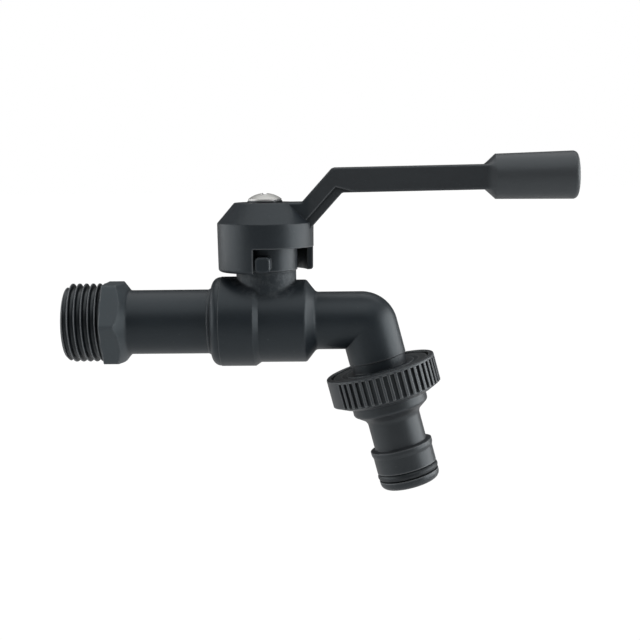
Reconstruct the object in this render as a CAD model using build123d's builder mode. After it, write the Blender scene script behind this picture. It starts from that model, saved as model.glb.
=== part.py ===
from build123d import *
import os
from math import atan2, cos, radians, sin, sqrt, tan

# Lever ball tap with a hose connector, in millimetres.
# X runs along the inlet pipe towards the grip, Z is up.
# The origin is on the inlet axis, at the face where the hexagon meets the inlet thread.

os.makedirs("parts", exist_ok=True)

# Fits
thread_clearance = 0.05        # radial room of a thread in its hole
turning_clearance = 0.05       # radial room of the stem in its bore
assembly_gap = 0.1             # room between pieces that are laid against each other
moving_gap = 0.3               # room between pieces that move past each other

# Pipe threads, modelled at the crests
pipe_thread_d = 20.955         # half inch pipe thread
thread_lead = 1.0              # lead-in chamfer at a thread's end

# Inlet tailpiece, along X
inlet_thread_length = 10.45
inlet_bore_d = 12.0
hex_across_flats = 21.0
hex_length = 3.7               # up to where the shoulder's cone cuts the corners
shoulder_length = 2.9          # cone from the hexagon's corners to the tube
shoulder_round = 1.0
tube_d = 17.1
tube_length = 21.95
bead_height = 0.25             # thin bead on the tube where it meets the body
bead_width = 0.8
nose_step = 0.8                # the threaded nose stands this far outside the ball chamber
nose_length = 6.3
nose_seal_setback = 1.0        # nose's end to its seal groove

# Ball and seats
ball_d = 16.0
water_way_d = 10.0             # bore of the ball, the seats and the spout
ball_clearance = 0.4           # radial room of the ball in the chamber
seat_clearance = 0.05          # film between the ball and its seats
seat_back = 0.2                # the seat's back stands this far beyond the ball
seat_front = 3.8               # depth of a seat along X
vent_d = 1.6                   # drain hole that empties the ball when it is shut
slot_width = 3.2
slot_web = 0.7                 # wall left between the slot and the ball's bore
slot_length = 9.0

# Valve body
chamber_wall = 2.55
socket_wall = 2.7              # wall around the tailpiece's nose
rim_round = 2.3
rim_step = 0.12                # the rounded rim stands this far under the body's outside
rim_length = 2.5
step_setback = 3.0             # start of the step in the body, before the stem's axis
step_length = 1.45
end_wall = 2.25                # wall behind the outlet seat
outlet_shoulder_length = 2.55
outlet_edge_round = 0.9
outlet_tube_d = 15.38
elbow_reach = 26.68            # stem's axis to the crossing of the outlet and spout axes
bend_radius = 2.0              # centreline radius of the outer bend
spout_lean = 14.5              # the spout's lean from the vertical, in degrees
spout_length = 10.5            # crossing of the axes to the spout's end edge
undercut_d = 14.7
undercut_length = 2.6
outlet_thread_length = 5.7

# Neck and stop lug
neck_d = 16.6
neck_waist_d = 15.9
neck_edge_rise = 2.85          # turned edge of the neck, above the chamber's outside
neck_length = 7.2              # turned edge to the top of the neck
lug_width = 4.0
lug_height = 4.1
lug_reach = 12.4               # stem's axis to the lug's front face
lug_round = 1.1
lug_bevel = 0.35

# Stem
stem_d = 8.0
stem_collar_d = 9.6
stem_collar_height = 1.3
thrust_washer_thickness = 0.8
square_width = 5.6
seal_section_d = 1.2
lower_seal_rise = 2.2          # stem's collar seat to the middle of the lower seal
seal_spacing = 3.0
tapped_hole_depth = 8.0
stem_setdown = 3.2             # hub's top to the stem's top

# Lever
hub_d = 25.5
hub_draft = 0.7                # degrees
skirt_drop = 0.3               # hub's lower edge, under the neck's turned edge
skirt_height = 12.7
skirt_wall = 1.5
skirt_round = 0.8
cap_height = 5.3
cap_d = 16.3
edge_round = 0.35
notch_height = 6.4
stop_gap = 0.4                 # gap between the lug and the notch's edge
crank_foot = 9.8               # stem's axis to the start of the cranked arm
crank_run = 8.1
arm_lift = 8.9
arm_thickness = 6.5
crank_thickness = 6.3
arm_rise = 0.5                 # degrees
arm_root_width = 10.6
arm_tip_width = 9.8
arm_edge_round = 0.6
arm_bend_round = 1.2
crank_recess_band = 2.3        # lower band of the crank that stands back at both sides
crank_recess_depth = 0.8
grip_start = 57.4              # stem's axis to the start of the grip's flare
flare_length = 3.0
flare_sink = 0.15              # start of the flare inside the arm
grip_root_d = 11.8
grip_end_d = 12.6
grip_length = 24.4             # with its flare
grip_end_round = 1.3

# Handle screw
screw_d = 4.0
screw_head_d = 8.8
screw_head_height = 2.0
screw_rim_height = 0.45
screw_point = 0.6
screw_length = 8.0             # below the hub's top
screw_recess_d = 4.6
screw_recess_width = 1.1
screw_recess_depth = 1.1
screw_washer_d = 9.2
screw_washer_thickness = 0.5

# Hose connector, along the spout's axis
cap_rim_rise = 0.4             # rim above the recessed top face
cap_rim_wall = 1.3
cap_groove_width = 0.6         # groove inside the rim
cap_groove_depth = 0.8
cap_ribbed_d = 29.5
cap_root_d = 28.0              # floor of the grooves between the ribs
cap_rim_band = 0.7             # plain band above the ribs
rib_length = 6.8
cap_floor = 1.2
cap_bottom_chamfer = 1.9
rib_count = 48
panel_ribs = 5                 # rib pitches that each plain panel takes up
panel_count = 2
rib_share = 0.58                # a groove's share of the pitch
washer_thickness = 1.4
collar_d = 20.3
collar_length = 2.8
collar_round = 1.0
collar_slope = 2.2             # run of the curve from the collar to the neck
nipple_neck_d = 14.2
ridge_d = 16.8
ridge_station = 13.0           # ribbed cap's bottom to the ridge's top edge
ridge_length = 2.3
ridge_flank = 0.35             # length of its steep upper flank
ridge_slope = 0.93             # length of its lower slope
nipple_body_d = 16.2
nipple_length = 24.2           # below the ribbed cap
nipple_tip_round = 1.8
nipple_bore_d = 10.0
nipple_seal_setback = 3.6      # tip to the middle of the seal groove
nipple_seal_section_d = 2.2
nipple_seal_stand = 0.15       # how far the seal stands out of the nipple

# Radii and stations that follow
thread_r = pipe_thread_d / 2
tube_r = tube_d / 2
water_way_r = water_way_d / 2
inlet_bore_r = inlet_bore_d / 2
ball_r = ball_d / 2
chamber_r = ball_r + ball_clearance
nose_r = chamber_r + nose_step
socket_r = nose_r + thread_clearance
chamber_end_r = chamber_r + chamber_wall
inlet_end_r = socket_r + socket_wall
outlet_tube_r = outlet_tube_d / 2

tube_start = hex_length + shoulder_length
body_start = tube_start + tube_length
seat_reach = ball_r + seat_back
stem_x = body_start + nose_length + seat_reach
chamber_end = stem_x + seat_reach + assembly_gap
outlet_shoulder = chamber_end + end_wall
outlet_tube_start = outlet_shoulder + outlet_shoulder_length
step_start = stem_x - step_setback
step_end = step_start + step_length

elbow_x = stem_x + elbow_reach
bend_angle = 90.0 - spout_lean
bend_tangent = bend_radius * tan(radians(bend_angle / 2))
pivot_x = elbow_x - bend_tangent
lean_sin = sin(radians(spout_lean))
lean_cos = cos(radians(spout_lean))
elbow_point = (elbow_x, 0, 0)
spout_direction = (lean_sin, 0, -lean_cos)
spout_outward = (lean_cos, 0, lean_sin)
spout_axis = Axis(elbow_point, spout_direction)
spout_plane = Plane(elbow_point, x_dir=spout_outward, z_dir=spout_direction)
spout_section = Plane(elbow_point, x_dir=spout_outward, z_dir=(0, 1, 0))

outlet_thread_start = spout_length + undercut_length
outlet_thread_end = outlet_thread_start + outlet_thread_length
washer_top = outlet_thread_end + assembly_gap
cap_cavity_floor = washer_top + washer_thickness
cap_bottom = cap_cavity_floor + cap_floor
cap_top = outlet_thread_start - cap_rim_rise
rib_top = cap_top + cap_rim_band
rib_bottom = rib_top + rib_length
nipple_tip = cap_bottom + nipple_length
ridge_top = cap_bottom + ridge_station
ridge_r = ridge_d / 2
nipple_bore_r = nipple_bore_d / 2

slot_floor = water_way_r + slot_web
blade_bottom = slot_floor + moving_gap
stem_collar_bottom = ball_r + moving_gap
thrust_washer_bottom = stem_collar_bottom + stem_collar_height
pocket_ceiling = thrust_washer_bottom + thrust_washer_thickness + turning_clearance
stem_r = stem_d / 2
stem_bore_r = stem_r + turning_clearance
seal_groove_r = stem_r - seal_section_d + turning_clearance
pocket_r = stem_collar_d / 2 + assembly_gap
neck_edge = chamber_end_r + neck_edge_rise
neck_top = neck_edge + neck_length
hub_bottom = neck_edge - skirt_drop
hub_rim = hub_bottom + skirt_height
hub_top = hub_rim + cap_height
hub_ceiling = neck_top + moving_gap
square_start = neck_top + moving_gap
stem_top = hub_top - stem_setdown
stem_plane = Plane((stem_x, 0, 0), x_dir=(1, 0, 0), z_dir=(0, 0, 1))
stem_section = Plane((stem_x, 0, 0), x_dir=(1, 0, 0), z_dir=(0, -1, 0))
stem_axis = Axis((stem_x, 0, 0), (0, 0, 1))


# Inlet tailpiece: thread, hexagon, rounded shoulder, tube, bead and threaded nose
nose_end = body_start + nose_length
nose_groove_end = nose_end - nose_seal_setback
nose_groove_start = nose_groove_end - seal_section_d - 2 * assembly_gap
nose_groove_r = nose_r - seal_section_d + turning_clearance
hex_corner_r = hex_across_flats / 2 / cos(radians(30))

with BuildPart() as inlet_tailpiece:
    with BuildSketch(Plane.YZ):
        RegularPolygon(hex_across_flats / 2, 6, major_radius=False)
    extrude(amount=tube_start)
    with BuildSketch(Plane.XZ):
        with BuildLine():
            Polyline(
                (0, 0),
                (0, hex_corner_r),
                (hex_length, hex_corner_r),
                (tube_start, tube_r),
                (tube_start, 0),
                close=True,
            )
        make_face()
    revolve(axis=Axis.X, mode=Mode.INTERSECT)
    with BuildSketch(Plane.XZ):
        with BuildLine():
            Polyline(
                (body_start - bead_width, tube_r),
                (body_start - bead_width, tube_r + bead_height),
                (body_start, tube_r + bead_height),
                (body_start, nose_r),
                (nose_groove_start, nose_r),
                (nose_groove_start, nose_groove_r),
                (nose_groove_end, nose_groove_r),
                (nose_groove_end, nose_r),
                (nose_end, nose_r),
                (nose_end, 0),
                (-inlet_thread_length, 0),
                (-inlet_thread_length, thread_r - thread_lead),
                (thread_lead - inlet_thread_length, thread_r),
                (0, thread_r),
                (0, tube_r),
                close=True,
            )
        make_face()
    revolve(axis=Axis.X)
    round_edges = inlet_tailpiece.edges().filter_by(GeomType.CIRCLE)
    fillet(round_edges.sort_by_distance((tube_start, 0, tube_r))[0], shoulder_round)
    with BuildSketch(Plane.YZ.offset(-inlet_thread_length)):
        Circle(inlet_bore_r)
    extrude(amount=inlet_thread_length + nose_end, mode=Mode.SUBTRACT)
inlet_tailpiece.part.label = "inlet_tailpiece"
export_step(inlet_tailpiece.part, "parts/inlet_tailpiece.step")


# Seal ring in the nose's groove
with BuildPart() as tailpiece_o_ring:
    ring_r = nose_groove_r + seal_section_d / 2
    with BuildSketch(Plane.XZ):
        with Locations(((nose_groove_start + nose_groove_end) / 2, ring_r)):
            Circle(seal_section_d / 2)
    revolve(axis=Axis.X)
tailpiece_o_ring.part.label = "tailpiece_o_ring"
export_step(tailpiece_o_ring.part, "parts/tailpiece_o_ring.step")


# Valve body: chamber, outlet tube, bend, spout, neck and stop lug in one casting
lug_bottom = neck_edge
lug_middle = lug_bottom + lug_height / 2

with BuildPart() as valve_body:
    with BuildSketch(Plane.XZ) as body_profile:
        with BuildLine():
            Polyline(
                (body_start, 0),
                (body_start, inlet_end_r - rim_step),
                (body_start + rim_length, inlet_end_r - rim_step),
                (body_start + rim_length, inlet_end_r),
                (step_start, inlet_end_r),
                (step_end, chamber_end_r),
                (outlet_shoulder, chamber_end_r),
                (outlet_tube_start, outlet_tube_r),
                (pivot_x, outlet_tube_r),
                (pivot_x, 0),
                close=True,
            )
        make_face()
        rim_corner = body_profile.vertices().sort_by_distance((body_start, inlet_end_r - rim_step))[0]
        fillet(rim_corner, rim_round)
        outlet_edge = body_profile.vertices().sort_by_distance((outlet_shoulder, chamber_end_r))[0]
        fillet(outlet_edge, outlet_edge_round)
        outlet_root = body_profile.vertices().sort_by_distance((outlet_tube_start, outlet_tube_r))[0]
        fillet(outlet_root, outlet_shoulder_length / 2)
    revolve(axis=Axis.X)
    with BuildSketch(Plane.YZ.offset(pivot_x)):
        Circle(outlet_tube_r)
        with Locations((0, -bend_radius)):
            Rectangle(2 * outlet_tube_d, outlet_tube_d, align=(Align.CENTER, Align.MAX), mode=Mode.SUBTRACT)
    revolve(axis=Axis((pivot_x, 0, -bend_radius), (0, 1, 0)), revolution_arc=bend_angle)
    with BuildSketch(spout_plane.offset(bend_tangent)):
        Circle(outlet_tube_r)
    extrude(amount=spout_length - bend_tangent)
    # The waist of the neck
    with BuildSketch(stem_plane):
        Circle(neck_waist_d / 2)
    extrude(amount=neck_edge)
    # The turned neck and the stop lug
    with BuildSketch(stem_plane.offset(neck_edge)):
        Circle(neck_d / 2)
    extrude(amount=neck_length)
    with BuildSketch(Plane((stem_x, -lug_reach, lug_middle), x_dir=(1, 0, 0), z_dir=(0, -1, 0))):
        RectangleRounded(lug_width, lug_height, lug_round)
    extrude(amount=-lug_reach + neck_waist_d / 4)
    lug_front = valve_body.faces().sort_by(Axis.Y)[0]
    chamfer(lug_front.edges(), lug_bevel)
    # Undercut and outlet thread
    with BuildSketch(spout_section):
        with BuildLine():
            Polyline(
                (0, spout_length),
                (undercut_d / 2, spout_length),
                (undercut_d / 2, outlet_thread_start),
                (thread_r, outlet_thread_start),
                (thread_r, outlet_thread_end - thread_lead),
                (thread_r - thread_lead, outlet_thread_end),
                (0, outlet_thread_end),
                close=True,
            )
        make_face()
    revolve(axis=spout_axis)
    # Socket, ball chamber and water way
    with BuildSketch(Plane.XZ):
        with BuildLine():
            Polyline(
                (body_start, 0),
                (body_start, socket_r),
                (nose_end + assembly_gap, socket_r),
                (nose_end + assembly_gap, chamber_r),
                (chamber_end, chamber_r),
                (chamber_end, water_way_r),
                (elbow_x, water_way_r),
                (elbow_x, 0),
                close=True,
            )
        make_face()
    revolve(axis=Axis.X, mode=Mode.SUBTRACT)
    with Locations(elbow_point):
        Sphere(water_way_r, mode=Mode.SUBTRACT)
    with BuildSketch(spout_plane):
        Circle(water_way_r)
    extrude(amount=outlet_thread_end, mode=Mode.SUBTRACT)
    # Pocket for the stem's collar, and the stem's bore
    with BuildSketch(stem_plane):
        Circle(pocket_r)
    extrude(amount=pocket_ceiling, mode=Mode.SUBTRACT)
    with BuildSketch(stem_plane):
        Circle(stem_bore_r)
    extrude(amount=neck_top, mode=Mode.SUBTRACT)
valve_body.part.label = "valve_body"
export_step(valve_body.part, "parts/valve_body.step")


# Seats: two rings hollowed to the ball, one the mirror image of the other
hollow_r = ball_r + seat_clearance
seat_face = stem_x + seat_reach - seat_front
seat_lip = stem_x + sqrt(hollow_r**2 - water_way_r**2)

with BuildPart() as outlet_seat:
    with BuildSketch(Plane.XZ):
        with BuildLine():
            Polyline(
                (seat_lip, water_way_r),
                (stem_x + seat_reach, water_way_r),
                (stem_x + seat_reach, chamber_r - assembly_gap),
                (seat_face, chamber_r - assembly_gap),
                (seat_face, sqrt(hollow_r**2 - (seat_face - stem_x) ** 2)),
            )
            RadiusArc(
                (seat_face, sqrt(hollow_r**2 - (seat_face - stem_x) ** 2)),
                (seat_lip, water_way_r),
                hollow_r,
            )
        make_face()
    revolve(axis=Axis.X)
outlet_seat.part.label = "outlet_seat"
export_step(outlet_seat.part, "parts/outlet_seat.step")

with BuildPart() as inlet_seat:
    mirror(outlet_seat.part, about=Plane.YZ.offset(stem_x))
inlet_seat.part.label = "inlet_seat"
export_step(inlet_seat.part, "parts/inlet_seat.step")


# Ball: water way along X, slot across it for the stem's blade, drain hole on the outlet's side when shut
with BuildPart() as ball:
    with Locations((stem_x, 0, 0)):
        Sphere(ball_r)
    with BuildSketch(Plane.YZ.offset(stem_x - ball_r)):
        Circle(water_way_r)
    extrude(amount=ball_d, mode=Mode.SUBTRACT)
    with BuildSketch(stem_plane.offset(slot_floor)):
        Rectangle(slot_width, ball_d)
    extrude(amount=ball_r, mode=Mode.SUBTRACT)
    with BuildSketch(Plane.XZ.offset(-ball_r)):
        with Locations((stem_x, 0)):
            Circle(vent_d / 2)
    extrude(amount=ball_r, mode=Mode.SUBTRACT)
ball.part.label = "ball"
export_step(ball.part, "parts/ball.step")


# Stem: blade, collar, grooved shaft, square and tapped hole
lower_seal = pocket_ceiling + lower_seal_rise
upper_seal = lower_seal + seal_spacing
groove_half = seal_section_d / 2 + assembly_gap
blade_width = slot_width - 2 * assembly_gap

with BuildPart() as stem:
    with BuildSketch(stem_section):
        with BuildLine():
            Polyline(
                (0, stem_collar_bottom),
                (stem_collar_d / 2, stem_collar_bottom),
                (stem_collar_d / 2, thrust_washer_bottom),
                (stem_r, thrust_washer_bottom),
                (stem_r, lower_seal - groove_half),
                (seal_groove_r, lower_seal - groove_half),
                (seal_groove_r, lower_seal + groove_half),
                (stem_r, lower_seal + groove_half),
                (stem_r, upper_seal - groove_half),
                (seal_groove_r, upper_seal - groove_half),
                (seal_groove_r, upper_seal + groove_half),
                (stem_r, upper_seal + groove_half),
                (stem_r, square_start),
                (0, square_start),
                close=True,
            )
        make_face()
    revolve(axis=stem_axis)
    with BuildSketch(stem_plane.offset(blade_bottom)):
        Rectangle(blade_width, slot_length)
        Circle(stem_r, mode=Mode.INTERSECT)
    extrude(amount=stem_collar_bottom - blade_bottom)
    with BuildSketch(stem_plane.offset(square_start)):
        Rectangle(square_width, square_width)
        Circle(stem_r, mode=Mode.INTERSECT)
    extrude(amount=stem_top - square_start)
    with BuildSketch(stem_plane.offset(stem_top)):
        Circle(screw_d / 2 + thread_clearance)
    extrude(amount=-tapped_hole_depth, mode=Mode.SUBTRACT)
stem.part.label = "stem"
export_step(stem.part, "parts/stem.step")


# Seal rings on the stem
def stem_seal(height, name):
    with BuildPart() as ring:
        with BuildSketch(stem_section):
            with Locations((seal_groove_r + seal_section_d / 2, height)):
                Circle(seal_section_d / 2)
        revolve(axis=stem_axis)
    ring.part.label = name
    export_step(ring.part, f"parts/{name}.step")


stem_seal(lower_seal, "stem_o_ring_lower")
stem_seal(upper_seal, "stem_o_ring_upper")


# Thrust washer between the stem's collar and the body
with BuildPart() as stem_thrust_washer:
    with BuildSketch(stem_plane.offset(thrust_washer_bottom)):
        Circle(stem_collar_d / 2)
        Circle(stem_r + turning_clearance, mode=Mode.SUBTRACT)
    extrude(amount=thrust_washer_thickness)
stem_thrust_washer.part.label = "stem_thrust_washer"
export_step(stem_thrust_washer.part, "parts/stem_thrust_washer.step")


# Lever: cranked arm, hub with its notch, and round grip in one casting
crank_angle = atan2(arm_lift, crank_run)
crank_top_x = stem_x + crank_foot + crank_run
crank_top_z = hub_top + arm_lift
level_slope = tan(radians(arm_rise))
grip_x = stem_x + grip_start
grip_top_z = crank_top_z + (grip_x - crank_top_x) * level_slope
grip_axis_z = grip_top_z - arm_thickness / 2
under_x = crank_top_x + crank_thickness * sin(crank_angle)
under_z = crank_top_z - crank_thickness * cos(crank_angle)
knee_x = under_x - (under_z - crank_top_z + arm_thickness) / tan(crank_angle)
knee_z = crank_top_z - arm_thickness + (knee_x - crank_top_x) * level_slope
root_x = stem_x + hub_d / 4
root_z = knee_z - (knee_x - root_x) * tan(crank_angle)
arm_end_x = grip_x + flare_length
arm_end_top = crank_top_z + (arm_end_x - crank_top_x) * level_slope
hub_r = hub_d / 2
skirt_r = hub_r - skirt_height * tan(radians(hub_draft))
hub_bore_r = skirt_r - skirt_wall
notch_side = lug_width / 2 + stop_gap
crank_along = Vector(cos(crank_angle), sin(crank_angle))
crank_up = Vector(-sin(crank_angle), cos(crank_angle))
knee = Vector(knee_x, knee_z)
grip_plane = Plane(
    (grip_x, 0, grip_axis_z),
    x_dir=(cos(radians(arm_rise)), 0, sin(radians(arm_rise))),
    z_dir=(0, -1, 0),
)
flare_plane = Plane(grip_plane.origin, x_dir=(0, 1, 0), z_dir=grip_plane.x_dir)
flare_width = arm_tip_width + (arm_root_width - arm_tip_width) * flare_length / (arm_end_x - root_x)

with BuildPart() as lever:
    with BuildSketch(Plane.XZ) as arm_profile:
        with BuildLine():
            Polyline(
                (root_x, hub_ceiling),
                (root_x, hub_top),
                (stem_x + crank_foot, hub_top),
                (crank_top_x, crank_top_z),
                (arm_end_x, arm_end_top),
                (arm_end_x, arm_end_top - arm_thickness),
                (knee_x, knee_z),
                (root_x + (hub_ceiling - root_z) / tan(crank_angle), hub_ceiling),
                close=True,
            )
        make_face()
        bends = [(stem_x + crank_foot, hub_top), (crank_top_x, crank_top_z), (knee_x, knee_z)]
        bend_corners = [arm_profile.vertices().sort_by_distance(bend)[0] for bend in bends]
        fillet(bend_corners, arm_bend_round)
    extrude(amount=arm_root_width / 2, both=True)
    with BuildSketch(Plane.XY.offset(hub_ceiling)):
        with BuildLine():
            Polyline(
                (root_x, -arm_root_width / 2),
                (arm_end_x, -arm_tip_width / 2),
                (arm_end_x, arm_tip_width / 2),
                (root_x, arm_root_width / 2),
                close=True,
            )
        make_face()
    extrude(amount=hub_top + arm_lift + arm_thickness, mode=Mode.INTERSECT)
    side_edges = lever.faces().sort_by(Axis.Y)[0].edges() + lever.faces().sort_by(Axis.Y)[-1].edges()
    fillet(side_edges.filter_by(Axis.Z, reverse=True), arm_edge_round)
    # The crank's lower band stands back from its sides
    for side in (-1, 1):
        with BuildSketch(Plane.XZ.offset(side * (arm_root_width / 2 - crank_recess_depth))):
            with BuildLine():
                Polyline(
                    knee + crank_along * crank_recess_band - crank_up * crank_recess_band,
                    knee + crank_up * crank_recess_band,
                    knee + crank_up * crank_recess_band - crank_along * hub_d,
                    knee - crank_up * crank_recess_band - crank_along * hub_d,
                    close=True,
                )
            make_face()
        extrude(amount=side * arm_root_width, mode=Mode.SUBTRACT)
    # Hub with its conical cap
    with BuildSketch(stem_section) as hub_profile:
        with BuildLine():
            Polyline(
                (0, hub_bottom),
                (skirt_r, hub_bottom),
                (hub_r, hub_rim),
                (cap_d / 2, hub_top),
                (0, hub_top),
                close=True,
            )
        make_face()
        fillet(hub_profile.vertices().sort_by_distance((skirt_r, hub_bottom))[0], skirt_round)
        fillet(hub_profile.vertices().sort_by_distance((hub_r, hub_rim))[0], edge_round)
        fillet(hub_profile.vertices().sort_by_distance((cap_d / 2, hub_top))[0], edge_round)
    revolve(axis=stem_axis)
    # Round grip, and the flare from the flat arm to it
    with BuildSketch(grip_plane) as grip_profile:
        with BuildLine():
            Polyline(
                (flare_length, 0),
                (flare_length, grip_root_d / 2),
                (grip_length, grip_end_d / 2),
                (grip_length, 0),
                close=True,
            )
        make_face()
        fillet(grip_profile.vertices().sort_by_distance((grip_length, grip_end_d / 2))[0], grip_end_round)
    revolve(axis=Axis(grip_plane.origin, grip_plane.x_dir))
    with BuildSketch(flare_plane) as flare_start:
        Rectangle(flare_width - 2 * flare_sink, arm_thickness - 2 * flare_sink)
        fillet(flare_start.vertices(), arm_edge_round)
    with BuildSketch(flare_plane.offset(flare_length)):
        Circle(grip_root_d / 2)
    loft()
    # Hollow of the hub, notch for the stop lug, square for the stem and hole for the screw
    with BuildSketch(stem_plane.offset(hub_bottom)):
        Circle(hub_bore_r)
    extrude(amount=hub_ceiling - hub_bottom, mode=Mode.SUBTRACT)
    with BuildSketch(stem_plane.offset(hub_bottom)):
        with Locations((-notch_side, notch_side)):
            Rectangle(hub_d, hub_d, align=(Align.MIN, Align.MAX))
    extrude(amount=notch_height, mode=Mode.SUBTRACT)
    with BuildSketch(stem_plane.offset(hub_ceiling)):
        Rectangle(square_width + 2 * assembly_gap, square_width + 2 * assembly_gap)
    extrude(amount=stem_top + assembly_gap - hub_ceiling, mode=Mode.SUBTRACT)
    with BuildSketch(stem_plane.offset(stem_top)):
        Circle(screw_d / 2 + assembly_gap)
    extrude(amount=hub_top - stem_top, mode=Mode.SUBTRACT)
lever.part.label = "lever"
export_step(lever.part, "parts/lever.step")


# Washer under the screw's head
with BuildPart() as screw_washer:
    with BuildSketch(stem_plane.offset(hub_top)):
        Circle(screw_washer_d / 2)
        Circle(screw_d / 2 + assembly_gap, mode=Mode.SUBTRACT)
    extrude(amount=screw_washer_thickness)
screw_washer.part.label = "screw_washer"
export_step(screw_washer.part, "parts/screw_washer.step")


# Pan head screw with a cross recess
head_bottom = hub_top + screw_washer_thickness
head_top = head_bottom + screw_head_height
head_rim = head_bottom + screw_rim_height

with BuildPart() as handle_screw:
    with BuildSketch(stem_section):
        with BuildLine():
            Polyline(
                (0, head_top),
                (0, hub_top - screw_length),
                (screw_d / 2 - screw_point, hub_top - screw_length),
                (screw_d / 2, hub_top - screw_length + screw_point),
                (screw_d / 2, head_bottom),
                (screw_head_d / 2, head_bottom),
                (screw_head_d / 2, head_rim),
            )
            dome_radius = ((screw_head_d / 2) ** 2 + (head_top - head_rim) ** 2) / 2 / (head_top - head_rim)
            RadiusArc((screw_head_d / 2, head_rim), (0, head_top), -dome_radius)
        make_face()
    revolve(axis=stem_axis)
    with BuildSketch(stem_plane.offset(head_top - screw_recess_depth)):
        Rectangle(screw_recess_d, screw_recess_width)
        Rectangle(screw_recess_width, screw_recess_d)
    extrude(amount=screw_head_height, mode=Mode.SUBTRACT)
handle_screw.part.label = "handle_screw"
export_step(handle_screw.part, "parts/handle_screw.step")


# Hose connector: ribbed cap and push-on nipple in one moulding
cap_r = cap_ribbed_d / 2
cap_root_r = cap_root_d / 2
collar_r = collar_d / 2
collar_end = cap_bottom + collar_length
neck_r = nipple_neck_d / 2
nipple_r = nipple_body_d / 2
seal_middle = nipple_tip - nipple_seal_setback
seal_half = nipple_seal_section_d / 2
seal_ring_r = nipple_r + nipple_seal_stand - seal_half
rib_pitch = 360 / rib_count
grooves_per_group = rib_count // panel_count - panel_ribs
groove_width = cap_ribbed_d * sin(radians(rib_pitch / 2)) * rib_share
groove_depth = cap_r - cap_root_r
rim_groove_r = cap_r - cap_rim_wall - cap_groove_width

with BuildPart() as hose_connector:
    with BuildSketch(spout_section) as connector_profile:
        with BuildLine():
            Polyline(
                (0, cap_top),
                (cap_r, cap_top),
                (cap_r, rib_bottom),
                (cap_root_r, rib_bottom),
                (cap_root_r, cap_bottom - cap_bottom_chamfer / 2),
                (cap_root_r - cap_bottom_chamfer, cap_bottom),
                (collar_r, cap_bottom),
                (collar_r, collar_end),
                (neck_r, collar_end + collar_slope),
                (neck_r, ridge_top),
                (ridge_r, ridge_top + ridge_flank),
                (ridge_r, ridge_top + ridge_length - ridge_slope),
                (nipple_r, ridge_top + ridge_length),
                (nipple_r, seal_middle - seal_half),
                (seal_ring_r - seal_half, seal_middle - seal_half),
                (seal_ring_r - seal_half, seal_middle + seal_half),
                (nipple_r, seal_middle + seal_half),
                (nipple_r, nipple_tip),
                (0, nipple_tip),
                close=True,
            )
        make_face()
        fillet(connector_profile.vertices().sort_by_distance((collar_r, collar_end))[0], collar_round)
        neck_root = (neck_r, collar_end + collar_slope)
        fillet(connector_profile.vertices().sort_by_distance(neck_root)[0], collar_slope)
        fillet(connector_profile.vertices().sort_by_distance((nipple_r, nipple_tip))[0], nipple_tip_round)
        fillet(connector_profile.vertices().sort_by_distance((cap_r, cap_top))[0], edge_round)
    revolve(axis=spout_axis)
    # Grooves between the ribs, in groups with plain panels between them
    with BuildSketch(spout_plane.offset(rib_top)):
        for group in range(panel_count):
            with PolarLocations(
                cap_r,
                grooves_per_group,
                start_angle=group * 360 / panel_count + rib_pitch / 2,
                angular_range=grooves_per_group * rib_pitch,
                endpoint=False,
            ):
                Rectangle(2 * groove_depth, groove_width)
    extrude(amount=rib_length, mode=Mode.SUBTRACT)
    # Recessed top face, thread, and water way
    with BuildSketch(spout_section):
        with BuildLine():
            Polyline(
                (0, cap_top),
                (cap_r - cap_rim_wall, cap_top),
                (cap_r - cap_rim_wall, outlet_thread_start + cap_groove_depth),
                (rim_groove_r, outlet_thread_start + cap_groove_depth),
                (rim_groove_r, outlet_thread_start),
                (thread_r + thread_clearance, outlet_thread_start),
                (thread_r + thread_clearance, cap_cavity_floor),
                (nipple_bore_r, cap_cavity_floor),
                (nipple_bore_r, nipple_tip),
                (0, nipple_tip),
                close=True,
            )
        make_face()
    revolve(axis=spout_axis, mode=Mode.SUBTRACT)
hose_connector.part.label = "hose_connector"
export_step(hose_connector.part, "parts/hose_connector.step")


# Seal ring on the nipple
with BuildPart() as nipple_o_ring:
    with BuildSketch(spout_section):
        with Locations((seal_ring_r, seal_middle)):
            Circle(seal_half)
    revolve(axis=spout_axis)
nipple_o_ring.part.label = "nipple_o_ring"
export_step(nipple_o_ring.part, "parts/nipple_o_ring.step")


# Flat washer between the spout's end and the connector's floor
with BuildPart() as connector_washer:
    with BuildSketch(spout_plane.offset(washer_top)):
        Circle(thread_r - assembly_gap)
        Circle(nipple_bore_r, mode=Mode.SUBTRACT)
    extrude(amount=washer_thickness)
connector_washer.part.label = "connector_washer"
export_step(connector_washer.part, "parts/connector_washer.step")
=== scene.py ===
import math

import bpy
from mathutils import Matrix, Vector


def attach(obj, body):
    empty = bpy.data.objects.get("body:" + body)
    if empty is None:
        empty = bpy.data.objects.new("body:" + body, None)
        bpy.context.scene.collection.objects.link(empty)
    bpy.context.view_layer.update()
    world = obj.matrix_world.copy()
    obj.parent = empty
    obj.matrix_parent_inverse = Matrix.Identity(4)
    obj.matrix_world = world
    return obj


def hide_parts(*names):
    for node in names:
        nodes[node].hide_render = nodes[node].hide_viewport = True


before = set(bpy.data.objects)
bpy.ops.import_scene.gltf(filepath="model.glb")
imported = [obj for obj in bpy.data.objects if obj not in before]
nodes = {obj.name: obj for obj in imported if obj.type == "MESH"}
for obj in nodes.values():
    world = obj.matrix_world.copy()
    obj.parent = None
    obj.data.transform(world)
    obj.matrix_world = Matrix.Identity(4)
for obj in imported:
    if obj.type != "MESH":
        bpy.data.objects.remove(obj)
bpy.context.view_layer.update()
mm = 0.001
print("stage: frame loaded,", len(nodes), "nodes")

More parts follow.
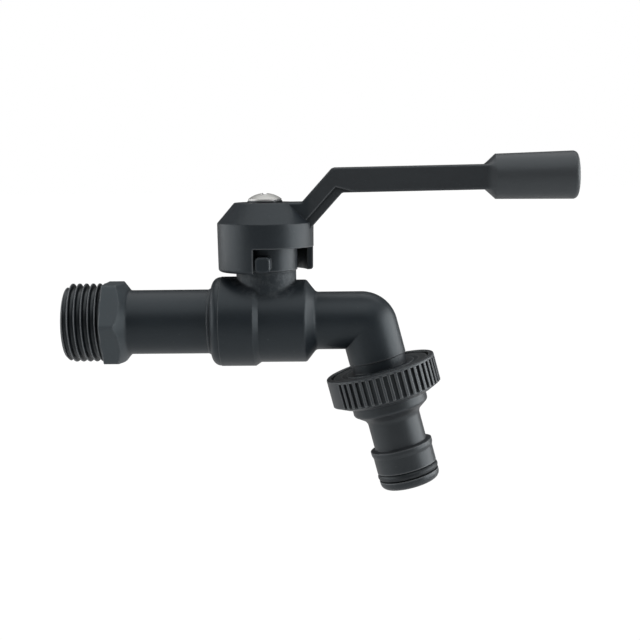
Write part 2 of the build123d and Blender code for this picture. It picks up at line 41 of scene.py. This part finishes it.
# half inch pipe thread, shared by the inlet and the spout
pipeThread = {
    "crestRadius": 10.4775,
    "pitch": 1.814,
    "depth": 1.162,
    "stepsPerPitch": 14,
    "roundness": 1.45,     # above 1 the flanks get straighter
    "crestShare": 1.7,     # above 1 the crests get narrower
    "aroundSteps": 180,
}


def threadHeight(turn):
    # height of the ridge above the root, for a phase counted in turns
    part = turn - math.floor(turn)
    tri = (1 - abs(2 * part - 1)) ** pipeThread["crestShare"]
    lean = max(-1.0, min(1.0, (2 * tri - 1) * pipeThread["roundness"]))
    return pipeThread["depth"] * (0.5 + 0.5 * math.sin(lean * math.pi / 2))


def fadeIn(value, low, high):
    part = max(0.0, min(1.0, (value - low) / (high - low)))
    return part * part * (3 - 2 * part)


def latheMesh(name, rings, around):
    # rings: list of (station, radius function of the angle), joined in order and closed round the X axis
    verts, faces = [], []
    for station, radiusAt in rings:
        for k in range(around):
            angle = 2 * math.pi * k / around
            r = radiusAt(angle)
            verts.append((station * mm, r * math.cos(angle) * mm, r * math.sin(angle) * mm))
    count = len(rings)
    for i in range(count):
        a, b = i * around, ((i + 1) % count) * around
        for k in range(around):
            n = (k + 1) % around
            faces.append((a + k, b + k, b + n, a + n))
    mesh = bpy.data.meshes.new(name)
    mesh.from_pydata(verts, [], faces)
    mesh.validate()
    mesh.update()
    return mesh


def smoothSides(mesh, degrees):
    mesh.polygons.foreach_set("use_smooth", [True] * len(mesh.polygons))
    mesh.set_sharp_from_angle(angle=math.radians(degrees))


def axesMatrix(xAxis, yAxis, zAxis, origin):
    # puts the local X, Y and Z along these axes and the local origin at that point
    rows = [(xAxis[i], yAxis[i], zAxis[i], origin[i]) for i in range(3)]
    return Matrix((*rows, (0, 0, 0, 1)))


def linkObject(name, data):
    thing = bpy.data.objects.new(name, data)
    bpy.context.scene.collection.objects.link(thing)
    return thing


def addPiece(name, mesh, body, material):
    piece = linkObject(name, mesh)
    mesh.materials.clear()
    mesh.materials.append(material)
    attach(piece, body)
    return piece


# shader helpers

def newGroup(name, inputs, outputs):
    group = bpy.data.node_groups.new(name, "ShaderNodeTree")
    for label, kind, value in inputs:
        socket = group.interface.new_socket(label, in_out="INPUT", socket_type=kind)
        if value is not None:
            socket.default_value = value
    for label, kind in outputs:
        group.interface.new_socket(label, in_out="OUTPUT", socket_type=kind)
    return group, group.nodes.new("NodeGroupInput"), group.nodes.new("NodeGroupOutput")


def mathNode(tree, operation, first, second=None, clamp=False):
    node = tree.nodes.new("ShaderNodeMath")
    node.operation = operation
    node.use_clamp = clamp
    for socket, value in zip(node.inputs, (first, second)):
        if value is None:
            continue
        if isinstance(value, (int, float)):
            socket.default_value = value
        else:
            tree.links.new(value, socket)
    return node.outputs[0]


def noiseNode(tree, vector, scale, detail=2.0, rough=0.5):
    node = tree.nodes.new("ShaderNodeTexNoise")
    tree.links.new(vector, node.inputs["Vector"])
    if isinstance(scale, (int, float)):
        node.inputs["Scale"].default_value = scale
    else:
        tree.links.new(scale, node.inputs["Scale"])
    node.inputs["Detail"].default_value = detail
    node.inputs["Roughness"].default_value = rough
    return node.outputs["Fac"]


def rampNode(tree, value, low, high):
    node = tree.nodes.new("ShaderNodeMapRange")
    node.interpolation_type = "SMOOTHSTEP"
    tree.links.new(value, node.inputs["Value"])
    for socket, limit in (("From Min", low), ("From Max", high)):
        if isinstance(limit, (int, float)):
            node.inputs[socket].default_value = limit
        else:
            tree.links.new(limit, node.inputs[socket])
    return node.outputs["Result"]


# fine orange peel and grain of a sprayed or moulded skin, and a slow change of tone
skinNoise = {
    "grainDetail": 1.0, "cloudScale": 55.0, "cloudDetail": 3.0, "cloudRough": 0.55, "toneLow": 0.3, "toneHigh": 0.7,
}
skinGrain, grainIn, grainOut = newGroup(
    "skinGrain",
    [("Place", "NodeSocketVector", None), ("Peel Scale", "NodeSocketFloat", 900.0),
     ("Grain Scale", "NodeSocketFloat", 5200.0), ("Grain Share", "NodeSocketFloat", 0.35)],
    [("Height", "NodeSocketFloat"), ("Tone", "NodeSocketFloat")],
)
skinPlace = grainIn.outputs["Place"]
peel = noiseNode(skinGrain, skinPlace, grainIn.outputs["Peel Scale"])
grain = noiseNode(skinGrain, skinPlace, grainIn.outputs["Grain Scale"], skinNoise["grainDetail"])
grainPart = mathNode(skinGrain, "MULTIPLY", grain, grainIn.outputs["Grain Share"])
skinGrain.links.new(mathNode(skinGrain, "ADD", peel, grainPart), grainOut.inputs["Height"])
cloud = noiseNode(skinGrain, skinPlace, skinNoise["cloudScale"], skinNoise["cloudDetail"], skinNoise["cloudRough"])
cloudTone = rampNode(skinGrain, cloud, skinNoise["toneLow"], skinNoise["toneHigh"])
skinGrain.links.new(cloudTone, grainOut.inputs["Tone"])

# scattered pale specks of dust
dustNoise = {"detail": 1.0, "rough": 0.4, "span": 0.07}
dustSpecks, dustIn, dustOut = newGroup(
    "dustSpecks",
    [("Place", "NodeSocketVector", None), ("Scale", "NodeSocketFloat", 1500.0),
     ("Start", "NodeSocketFloat", 0.7), ("End", "NodeSocketFloat", 0.78)],
    [("Mask", "NodeSocketFloat")],
)
dustPlace, dustSize = dustIn.outputs["Place"], dustIn.outputs["Scale"]
speck = noiseNode(dustSpecks, dustPlace, dustSize, dustNoise["detail"], dustNoise["rough"])
speckMask = rampNode(dustSpecks, speck, dustIn.outputs["Start"], dustIn.outputs["End"])
dustSpecks.links.new(speckMask, dustOut.inputs["Mask"])

# softened edges: a rounded normal, a mask of the outer edges for a painted highlight and one of the inner corners
# for painted shade
edgeSamples = 6
softEdges, edgeIn, edgeOut = newGroup(
    "softEdges",
    [("Round", "NodeSocketFloat", 0.35 * mm), ("Rim Reach", "NodeSocketFloat", 0.5 * mm),
     ("Crease Reach", "NodeSocketFloat", 1.4 * mm), ("Low", "NodeSocketFloat", 0.06),
     ("High", "NodeSocketFloat", 0.45)],
    [("Normal", "NodeSocketVector"), ("Rim Highlight", "NodeSocketFloat"), ("Crease Shade", "NodeSocketFloat")],
)
edgeRound = softEdges.nodes.new("ShaderNodeBevel")
edgeRound.samples = edgeSamples
softEdges.links.new(edgeIn.outputs["Round"], edgeRound.inputs["Radius"])
softEdges.links.new(edgeRound.outputs["Normal"], edgeOut.inputs["Normal"])
for label, reach, inward in (("Rim Highlight", "Rim Reach", True), ("Crease Shade", "Crease Reach", False)):
    hidden = softEdges.nodes.new("ShaderNodeAmbientOcclusion")
    hidden.samples = edgeSamples
    hidden.inside = inward
    hidden.only_local = True
    softEdges.links.new(edgeIn.outputs[reach], hidden.inputs["Distance"])
    closed = mathNode(softEdges, "SUBTRACT", 1.0, hidden.outputs["AO"])
    edgeMask = rampNode(softEdges, closed, edgeIn.outputs["Low"], edgeIn.outputs["High"])
    softEdges.links.new(edgeMask, edgeOut.inputs[label])


def placeGroup(tree, group, values):
    node = tree.nodes.new("ShaderNodeGroup")
    node.node_tree = group
    for label, value in values.items():
        if isinstance(value, bpy.types.NodeSocket):
            tree.links.new(value, node.inputs[label])
        else:
            node.inputs[label].default_value = value
    return node


def mixColour(tree, mask, first, second):
    node = tree.nodes.new("ShaderNodeMix")
    node.data_type = "RGBA"
    tree.links.new(mask, node.inputs["Factor"])
    colours = [s for s in node.inputs if s.type == "RGBA"]
    for socket, value in zip(colours, (first, second)):
        if isinstance(value, bpy.types.NodeSocket):
            tree.links.new(value, socket)
        else:
            socket.default_value = (*value, 1.0)
    return [s for s in node.outputs if s.type == "RGBA"][0]


def bandMask(tree, place, band):
    # part of a piece between two stations along X
    split = tree.nodes.new("ShaderNodeSeparateXYZ")
    tree.links.new(place, split.inputs[0])
    after = rampNode(tree, split.outputs["X"], (band["from"] - band["fade"]) * mm, band["from"] * mm)
    past = rampNode(tree, split.outputs["X"], band["to"] * mm, (band["to"] + band["fade"]) * mm)
    inside = mathNode(tree, "MULTIPLY", after, mathNode(tree, "SUBTRACT", 1.0, past))
    return mathNode(tree, "MULTIPLY", inside, band["share"])


def makeFinish(name, look, roughPatch=None):
    material = bpy.data.materials.new(name)
    material.use_nodes = True
    tree = material.node_tree
    shader = tree.nodes["Principled BSDF"]
    shader.inputs["Metallic"].default_value = look.get("metallic", 0.0)
    shader.inputs["Specular IOR Level"].default_value = look.get("specular", 0.5)
    shader.inputs["Specular Tint"].default_value = (*look.get("sheen", (1.0, 1.0, 1.0)), 1.0)
    place = tree.nodes.new("ShaderNodeTexCoord").outputs["Object"]
    skin = placeGroup(tree, skinGrain, {
        "Place": place, "Peel Scale": look["peelScale"],
        "Grain Scale": look["grainScale"], "Grain Share": look["grainShare"],
    })
    dust = placeGroup(tree, dustSpecks, {
        "Place": place, "Scale": look["dustScale"],
        "Start": look["dustStart"], "End": look["dustStart"] + dustNoise["span"],
    })
    patch = roughPatch(tree, place) if roughPatch else None
    edgeRadius = look["edgeRound"] * mm
    if patch:
        wider = mathNode(tree, "MULTIPLY_ADD", patch, look["castRound"] * mm)
        wider.node.inputs[2].default_value = edgeRadius
        edgeRadius = wider
    edges = placeGroup(tree, softEdges, {
        "Round": edgeRadius, "Rim Reach": look["edgeReach"] * mm, "Crease Reach": look["creaseReach"] * mm,
    })
    colour = mixColour(tree, skin.outputs["Tone"], look["dark"], look["light"])
    # lighter bands along X: painted light
    for band in look.get("paintedLightBands", ()):
        colour = mixColour(tree, bandMask(tree, place, band), colour, band["colour"])
    if patch:
        coarse = noiseNode(tree, place, look["castScale"], look["castDetail"], look["castGrit"])
        scuff = mathNode(tree, "MULTIPLY", patch, rampNode(tree, coarse, look["scuffLow"], look["scuffHigh"]))
        colour = mixColour(tree, scuff, colour, look["castTone"])
    # painted shade: a darker colour in the inner corners, creases and thread valleys
    creaseShadeMask = mathNode(tree, "MULTIPLY", edges.outputs["Crease Shade"], look["creaseShadeShare"])
    colour = mixColour(tree, creaseShadeMask, colour, look["creaseShade"])
    # painted highlight: a lighter colour along the outer edges and thread crests
    edgeMask = mathNode(tree, "MULTIPLY", edges.outputs["Rim Highlight"], look["edgeShare"])
    colour = mixColour(tree, edgeMask, colour, look["edge"])
    dustMask = mathNode(tree, "MULTIPLY", dust.outputs["Mask"], look["dustShare"])
    colour = mixColour(tree, dustMask, colour, look["dust"])
    tree.links.new(colour, shader.inputs["Base Color"])
    rough = mathNode(tree, "MULTIPLY_ADD", skin.outputs["Tone"], look["roughSpread"])
    rough.node.inputs[2].default_value = look["rough"] - look["roughSpread"] / 2
    height = skin.outputs["Height"]
    if patch:
        lifted = mathNode(tree, "MULTIPLY", mathNode(tree, "MULTIPLY", coarse, patch), look["castHeight"])
        height = mathNode(tree, "ADD", height, lifted)
        rough = mathNode(tree, "ADD", rough, mathNode(tree, "MULTIPLY", patch, look["castRough"]), clamp=True)
    tree.links.new(rough, shader.inputs["Roughness"])
    bump = tree.nodes.new("ShaderNodeBump")
    bump.inputs["Strength"].default_value = look["bumpStrength"]
    bump.inputs["Distance"].default_value = look["bumpHeight"] * mm
    tree.links.new(height, bump.inputs["Height"])
    tree.links.new(edges.outputs["Normal"], bump.inputs["Normal"])
    tree.links.new(bump.outputs["Normal"], shader.inputs["Normal"])
    return material


# where the casting was left as it came from the mould: the waist under the turned neck
castWaist = {
    "stemX": 43.05, "low": 6.0, "lowFade": 1.6, "high": 13.6, "highFade": 0.2, "reach": 10.5, "reachFade": 0.8,
}


def castPatch(tree, place):
    split = tree.nodes.new("ShaderNodeSeparateXYZ")
    tree.links.new(place, split.inputs[0])
    shift = mathNode(tree, "SUBTRACT", split.outputs["X"], castWaist["stemX"] * mm)
    square = mathNode(tree, "MULTIPLY", shift, shift)
    across = mathNode(tree, "MULTIPLY", split.outputs["Y"], split.outputs["Y"])
    radius = mathNode(tree, "SQRT", mathNode(tree, "ADD", square, across))
    low, high, reach = castWaist["low"], castWaist["high"], castWaist["reach"]
    far = rampNode(tree, radius, (reach - castWaist["reachFade"]) * mm, reach * mm)
    near = mathNode(tree, "SUBTRACT", 1.0, far)
    above = rampNode(tree, split.outputs["Z"], low * mm, (low + castWaist["lowFade"]) * mm)
    over = rampNode(tree, split.outputs["Z"], (high - castWaist["highFade"]) * mm, high * mm)
    below = mathNode(tree, "SUBTRACT", 1.0, over)
    return mathNode(tree, "MULTIPLY", near, mathNode(tree, "MULTIPLY", above, below))


coatLook = {
    "dark": (0.0085, 0.0125, 0.0165), "light": (0.0115, 0.016, 0.0205),
    # the edge colour is a painted highlight on the outer edges
    "edge": (0.14, 0.148, 0.155), "edgeShare": 0.6, "edgeReach": 0.5, "edgeRound": 0.35,
    # the crease colour is painted shade in the inner corners
    "creaseShade": (0.003, 0.004, 0.005), "creaseShadeShare": 0.8, "creaseReach": 1.4,
    "dust": (0.16, 0.165, 0.17), "dustScale": 1500.0, "dustStart": 0.74, "dustShare": 0.12,
    "rough": 0.42, "roughSpread": 0.06, "specular": 0.5, "sheen": (0.86, 0.95, 1.0),
    "peelScale": 800.0, "grainScale": 5200.0, "grainShare": 0.3,
    "bumpStrength": 0.35, "bumpHeight": 0.06,
    "castScale": 700.0, "castDetail": 4.0, "castGrit": 0.65, "castHeight": 5.0, "castRough": 0.1, "castRound": 1.1,
    "castTone": (0.036, 0.041, 0.046), "scuffLow": 0.42, "scuffHigh": 0.68,
}
# painted reflection: a lighter band over the hexagon and shoulder
hexPaintedReflection = {"from": 0.1, "to": 5.9, "fade": 0.8, "share": 0.8, "colour": (0.046, 0.056, 0.063)}
# painted light: lighter bands along the lever's arm and grip
armPaintedLight = {"from": 56.0, "to": 131.0, "fade": 2.0, "share": 1.0, "colour": (0.025, 0.0275, 0.0305)}
gripPaintedLight = {"from": 102.5, "to": 131.0, "fade": 1.5, "share": 0.8, "colour": (0.048, 0.052, 0.056)}
pipeLook = dict(coatLook, edge=(0.3, 0.31, 0.32), edgeShare=0.55, edgeReach=0.35, creaseShadeShare=1.0, paintedLightBands=[hexPaintedReflection])
leverLook = dict(coatLook, dark=(0.0095, 0.013, 0.0168), light=(0.0125, 0.0165, 0.0208), rough=0.45,
                 paintedLightBands=[armPaintedLight, gripPaintedLight])
plasticLook = dict(coatLook, dark=(0.021, 0.0238, 0.0268), light=(0.026, 0.0288, 0.0318), rough=0.4,
                   peelScale=1400.0, bumpStrength=0.2, edgeShare=0.8, creaseShadeShare=0.8, creaseReach=0.6)
rubberLook = dict(coatLook, dark=(0.008, 0.0095, 0.011), light=(0.0115, 0.013, 0.0145), rough=0.5,
                  peelScale=1600.0, bumpStrength=0.2, edgeShare=0.1)
steelLook = dict(coatLook, dark=(0.62, 0.62, 0.6), light=(0.7, 0.7, 0.68), edge=(0.9, 0.9, 0.89), metallic=1.0,
                 rough=0.26, dustShare=0.1, peelScale=600.0, bumpStrength=0.15, sheen=(1.0, 1.0, 1.0))
screwLook = dict(steelLook, metallic=0.7, rough=0.48, dark=(0.5, 0.5, 0.48), light=(0.58, 0.58, 0.56), edgeShare=0.9)
washerLook = dict(coatLook, dark=(0.03, 0.031, 0.033), light=(0.045, 0.046, 0.05), metallic=0.6, rough=0.4)
platedLook = dict(steelLook, dark=(0.75, 0.75, 0.76), light=(0.82, 0.82, 0.83), rough=0.12)
brassLook = dict(steelLook, dark=(0.6, 0.43, 0.16), light=(0.7, 0.52, 0.22), edge=(0.8, 0.62, 0.3), rough=0.28)
seatLook = dict(coatLook, dark=(0.72, 0.72, 0.7), light=(0.8, 0.8, 0.78), edge=(0.85, 0.85, 0.83), rough=0.45)

coatedBody = makeFinish("satinBlackBody", coatLook, castPatch)
coatedPipe = makeFinish("satinBlackPipe", pipeLook)
coatedSpout = makeFinish("satinBlackSpout", dict(coatLook, edgeShare=0.0))
coatedLever = makeFinish("satinBlackLever", leverLook)
blackPlastic = makeFinish("blackConnectorPlastic", plasticLook)
blackRubber = makeFinish("blackSealRubber", rubberLook)
brightSteel = makeFinish("brightScrewSteel", screwLook)
darkSteel = makeFinish("darkWasherSteel", washerLook)
platedBall = makeFinish("platedBall", platedLook)
stemBrass = makeFinish("stemBrass", brassLook)
seatPlastic = makeFinish("whiteSeatPlastic", seatLook)
print("stage: finishes made")

# inlet tailpiece with a cut thread, hexagon, shoulder, tube and bead
tailpiece = {
    "threadLength": 10.45, "lead": 1.1, "runOut": 0.9, "runOutEnd": 0.225, "phase": 0.32,
    "hexFlats": 21.0, "hexLength": 3.7, "hexSteps": 40, "cornerSoft": 0.12,
    "shoulderRound": 1.0, "tubeStart": 6.6, "tubeRadius": 8.55, "tubeSteps": 20,
    "beadStart": 27.75, "beadHeight": 0.25, "beadRound": 0.2, "bodyStart": 28.55,
    "noseRadius": 9.2, "noseEnd": 34.85, "grooveStart": 32.45, "grooveEnd": 33.85, "grooveRadius": 8.05,
    "boreRadius": 6.0, "boreChamfer": 0.7, "boreSteps": 11, "sharpAngle": 32,
}


def tailpieceRings():
    t = tailpiece
    crest, pitch, depth = pipeThread["crestRadius"], pipeThread["pitch"], pipeThread["depth"]
    root = crest - depth
    start = -t["threadLength"]
    rings = [(start, lambda a: t["boreRadius"] + t["boreChamfer"])]
    count = int(round(t["threadLength"] / pitch * pipeThread["stepsPerPitch"]))

    def threadRing(x):
        def radius(angle):
            ridge = threadHeight(x / pitch - t["phase"] - angle / (2 * math.pi))
            ridge += (depth - ridge) * fadeIn(x, -t["runOut"], -t["runOutEnd"])
            return min(root + ridge, crest - t["lead"] + (x - start))
        return radius

    for i in range(count + 1):
        x = start + t["threadLength"] * i / count
        rings.append((x, threadRing(x)))
    flat = t["hexFlats"] / 2
    corner = flat / math.cos(math.pi / 6)
    fall = math.atan2(corner - t["tubeRadius"], t["tubeStart"] - t["hexLength"])
    tangent = t["shoulderRound"] * math.tan(fall / 2)
    curveStart = t["tubeStart"] - tangent * math.cos(fall)
    hexEnd = t["tubeStart"] + tangent

    def coneRadius(x):
        # cone that cuts the corners, rounded into the tube
        if x < t["hexLength"]:
            return corner
        if x < curveStart:
            return corner - (x - t["hexLength"]) * math.tan(fall)
        hollow = t["shoulderRound"] ** 2 - (hexEnd - x) ** 2
        return t["tubeRadius"] + t["shoulderRound"] - math.sqrt(max(0.0, hollow))

    def hexRing(x):
        limit = min(coneRadius(x), corner - t["cornerSoft"])

        def radius(angle):
            turn = (angle + math.pi / 6) % (math.pi / 3) - math.pi / 6
            side = flat / math.cos(math.pi / 6 - abs(turn))
            return min(side, limit)
        return radius

    for i in range(t["hexSteps"] + 1):
        x = hexEnd * i / t["hexSteps"]
        rings.append((x, hexRing(x)))

    def plain(x, r):
        rings.append((x, lambda a: r))

    for i in range(1, t["tubeSteps"] + 1):
        plain(hexEnd + (t["beadStart"] - hexEnd) * i / t["tubeSteps"], t["tubeRadius"])
    bead = t["tubeRadius"] + t["beadHeight"]
    plain(t["beadStart"], bead - t["beadRound"] / 2)
    plain(t["beadStart"] + t["beadRound"], bead)
    plain(t["bodyStart"] - t["beadRound"], bead)
    plain(t["bodyStart"], bead - t["beadRound"])
    plain(t["bodyStart"], t["noseRadius"])
    plain(t["grooveStart"], t["noseRadius"])
    plain(t["grooveStart"], t["grooveRadius"])
    plain(t["grooveEnd"], t["grooveRadius"])
    plain(t["grooveEnd"], t["noseRadius"])
    plain(t["noseEnd"], t["noseRadius"])
    plain(t["noseEnd"], t["boreRadius"])
    boreEnd = start + t["boreChamfer"]
    for i in range(1, t["boreSteps"] + 1):
        plain(t["noseEnd"] + (boreEnd - t["noseEnd"]) * i / t["boreSteps"], t["boreRadius"])
    return rings


tailpieceMesh = latheMesh("tailpieceMesh", tailpieceRings(), pipeThread["aroundSteps"])
smoothSides(tailpieceMesh, tailpiece["sharpAngle"])
tailpiecePiece = addPiece("threadedTailpiece", tailpieceMesh, "tap_body", coatedPipe)
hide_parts("inlet_tailpiece")
print("stage: tailpiece made,", len(tailpieceMesh.polygons), "faces")

# spout thread, and the casting turned down to its root under it
spout = {
    "elbowX": 69.73, "lean": 14.5, "threadStart": 13.1, "threadEnd": 18.8, "lead": 1.1,
    "inside": 0.35, "insideDepth": 0.7, "collar": 0.5, "runOut": 0.9, "margin": 0.05, "sharpAngle": 40,
}
leanAngle = math.radians(spout["lean"])
spoutDown = Vector((math.sin(leanAngle), 0, -math.cos(leanAngle)))
spoutOut = Vector((math.cos(leanAngle), 0, math.sin(leanAngle)))
spoutFoot = Vector((spout["elbowX"] * mm, 0, 0))
rootRadius = pipeThread["crestRadius"] - pipeThread["depth"]


def spoutThreadRings():
    crest, pitch = pipeThread["crestRadius"], pipeThread["pitch"]
    rings = []
    length = spout["threadEnd"] - spout["threadStart"]
    count = int(round(length / pitch * pipeThread["stepsPerPitch"]))

    def ring(s):
        def radius(angle):
            ridge = threadHeight(s / pitch - angle / (2 * math.pi))
            full = 1 - fadeIn(s - spout["threadStart"], spout["collar"], spout["collar"] + spout["runOut"])
            ridge += (pipeThread["depth"] - ridge) * full
            return min(rootRadius + ridge, crest - spout["lead"] + (spout["threadEnd"] - s))
        return radius

    for i in range(count + 1):
        s = spout["threadStart"] + length * i / count
        rings.append((s, ring(s)))
    rings.append((spout["threadEnd"] - spout["inside"], lambda a: rootRadius - spout["insideDepth"]))
    rings.append((spout["threadStart"] + spout["inside"], lambda a: rootRadius - spout["insideDepth"]))
    return rings


spoutThreadMesh = latheMesh("spoutThreadMesh", spoutThreadRings(), pipeThread["aroundSteps"])
spoutThreadMesh.transform(axesMatrix(spoutDown, spoutOut, spoutDown.cross(spoutOut), spoutFoot))
smoothSides(spoutThreadMesh, spout["sharpAngle"])
addPiece("spoutThread", spoutThreadMesh, "tap_body", coatedSpout)

bodyMesh = nodes["valve_body"].data.copy()
turnedFrom, turnedTo = spout["threadStart"] - spout["margin"], spout["threadEnd"] + spout["margin"]
for vert in bodyMesh.vertices:
    along = (vert.co - spoutFoot).dot(spoutDown)
    if not turnedFrom < along / mm < turnedTo:
        continue
    offset = vert.co - spoutFoot - spoutDown * along
    if offset.length > rootRadius * mm:
        vert.co = spoutFoot + spoutDown * along + offset.normalized() * rootRadius * mm
bodyPiece = addPiece("castBody", bodyMesh, "tap_body", coatedBody)
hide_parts("valve_body")
print("stage: spout thread and body made")

# the other nodes keep their shapes and get their finish
nodeFinish = {
    "lever": coatedLever, "handle_screw": brightSteel, "screw_washer": darkSteel,
    "hose_connector": blackPlastic, "nipple_o_ring": blackRubber, "ball": platedBall,
    "inlet_seat": seatPlastic, "outlet_seat": seatPlastic, "stem": stemBrass, "stem_thrust_washer": seatPlastic,
    "stem_o_ring_lower": blackRubber, "stem_o_ring_upper": blackRubber, "tailpiece_o_ring": blackRubber,
    "connector_washer": blackRubber,
}
for nodeName, finish in nodeFinish.items():
    nodes[nodeName].data.materials.clear()
    nodes[nodeName].data.materials.append(finish)


def splitRays(tree, seenShader, otherShader, output):
    # one shader for what the camera sees and another for all other rays
    rays = tree.nodes.new("ShaderNodeLightPath")
    blend = tree.nodes.new("ShaderNodeMixShader")
    tree.links.new(rays.outputs["Is Camera Ray"], blend.inputs["Fac"])
    tree.links.new(otherShader.outputs[0], blend.inputs[1])
    tree.links.new(seenShader.outputs[0], blend.inputs[2])
    tree.links.new(blend.outputs[0], tree.nodes[output].inputs["Surface"])


# pale floor well under the tap, which hangs by its inlet
paleFloor = {
    "z": -0.3, "half": 12.0, "dark": (0.95, 0.95, 0.95), "light": (0.99, 0.99, 0.99),
    "toneScale": 3.0, "toneLow": 0.2, "toneHigh": 0.8, "rough": 0.9, "specular": 0.1,
    "glow": 1.06,      # strength of what the camera sees
    "bounce": 0.62,    # share of the colour that lights the tap from below
}
paper = bpy.data.materials.new("palePaper")
paper.use_nodes = True
paperTree = paper.node_tree
paperShader = paperTree.nodes["Principled BSDF"]
paperShader.inputs["Roughness"].default_value = paleFloor["rough"]
paperShader.inputs["Specular IOR Level"].default_value = paleFloor["specular"]
paperPlace = paperTree.nodes.new("ShaderNodeTexCoord").outputs["Object"]
paperNoise = noiseNode(paperTree, paperPlace, paleFloor["toneScale"])
paperTone = rampNode(paperTree, paperNoise, paleFloor["toneLow"], paleFloor["toneHigh"])
paperColour = mixColour(paperTree, paperTone, paleFloor["dark"], paleFloor["light"])
paperBounce = mixColour(paperTree, paperTone, [v * paleFloor["bounce"] for v in paleFloor["dark"]],
                        [v * paleFloor["bounce"] for v in paleFloor["light"]])
paperTree.links.new(paperBounce, paperShader.inputs["Base Color"])
paperGlow = paperTree.nodes.new("ShaderNodeEmission")
paperGlow.inputs["Strength"].default_value = paleFloor["glow"]
paperTree.links.new(paperColour, paperGlow.inputs["Color"])
splitRays(paperTree, paperGlow, paperShader, "Material Output")
floorMesh = bpy.data.meshes.new("paleFloorMesh")
half = paleFloor["half"]
floorCorners = [(x, y, paleFloor["z"]) for x, y in ((-half, -half), (half, -half), (half, half), (-half, half))]
floorMesh.from_pydata(floorCorners, [], [(0, 1, 2, 3)])
floorMesh.materials.append(paper)
floor = linkObject("paleFloor", floorMesh)

# soft studio light: a wide ceiling, two side boxes and a weak front
studio = {
    "backdrop": 1.0, "ambient": 0.1,
    "ceiling": {"strength": 1.65, "angle": 80.0, "tilt": (-6.0, 4.0, 0.0)},
    "boxes": {
        "rightSoftBox": {"place": (0.85, 0.02, 0.12), "size": (1.0, 0.6), "watts": 7.2},
        "leftSoftBox": {"place": (-0.75, 0.0, 0.12), "size": (1.1, 0.6), "watts": 4.4},
        "frontSoftBox": {"place": (0.05, -0.85, 0.95), "size": (1.0, 0.5), "watts": 2.0},
    },
    "aim": (0.056, 0.0, 0.0),
}
world = bpy.data.worlds.new("studioAir")
bpy.context.scene.world = world
world.use_nodes = True
air = world.node_tree
fill = air.nodes["Background"]
fill.inputs["Color"].default_value = (1, 1, 1, 1)
fill.inputs["Strength"].default_value = studio["ambient"]
backdrop = air.nodes.new("ShaderNodeBackground")
backdrop.inputs["Color"].default_value = (1, 1, 1, 1)
backdrop.inputs["Strength"].default_value = studio["backdrop"]
splitRays(air, backdrop, fill, "World Output")
ceiling = bpy.data.lights.new("softCeiling", "SUN")
ceiling.energy = studio["ceiling"]["strength"]
ceiling.angle = math.radians(studio["ceiling"]["angle"])
ceilingObject = linkObject("softCeiling", ceiling)
ceilingObject.rotation_euler = [math.radians(v) for v in studio["ceiling"]["tilt"]]
for lampName, lamp in studio["boxes"].items():
    light = bpy.data.lights.new(lampName, "AREA")
    light.shape = "RECTANGLE"
    light.size, light.size_y = lamp["size"]
    light.energy = lamp["watts"]
    lampObject = linkObject(lampName, light)
    lampObject.location = lamp["place"]
    lampObject.rotation_euler = (Vector(studio["aim"]) - lampObject.location).to_track_quat("-Z", "Y").to_euler()

# camera at the photograph's viewing angle
view = {
    "eye": (70.218, -336.783, 43.436), "target": (57.139, 0.0, 0.103), "roll": 0.804,
    "focalPixels": 1275.68, "imagePixels": 640, "sensor": 36.0, "clipStart": 0.01,
}
camera = bpy.data.cameras.new("photoCamera")
camera.sensor_width = view["sensor"]
camera.sensor_fit = "HORIZONTAL"
camera.lens = view["focalPixels"] / view["imagePixels"] * view["sensor"]
camera.clip_start = view["clipStart"]
cameraObject = linkObject("photoCamera", camera)
eye = Vector(view["eye"]) * mm
forward = (Vector(view["target"]) * mm - eye).normalized()
right = forward.cross(Vector((0, 0, 1))).normalized()
up = right.cross(forward)
turn = math.radians(view["roll"])
tiltedRight = right * math.cos(turn) - up * math.sin(turn)
tiltedUp = right * math.sin(turn) + up * math.cos(turn)
cameraObject.matrix_world = axesMatrix(tiltedRight, tiltedUp, -forward, eye)
bpy.context.scene.camera = cameraObject
bpy.context.scene.view_settings.view_transform = "Standard"
print("stage: light and camera set")
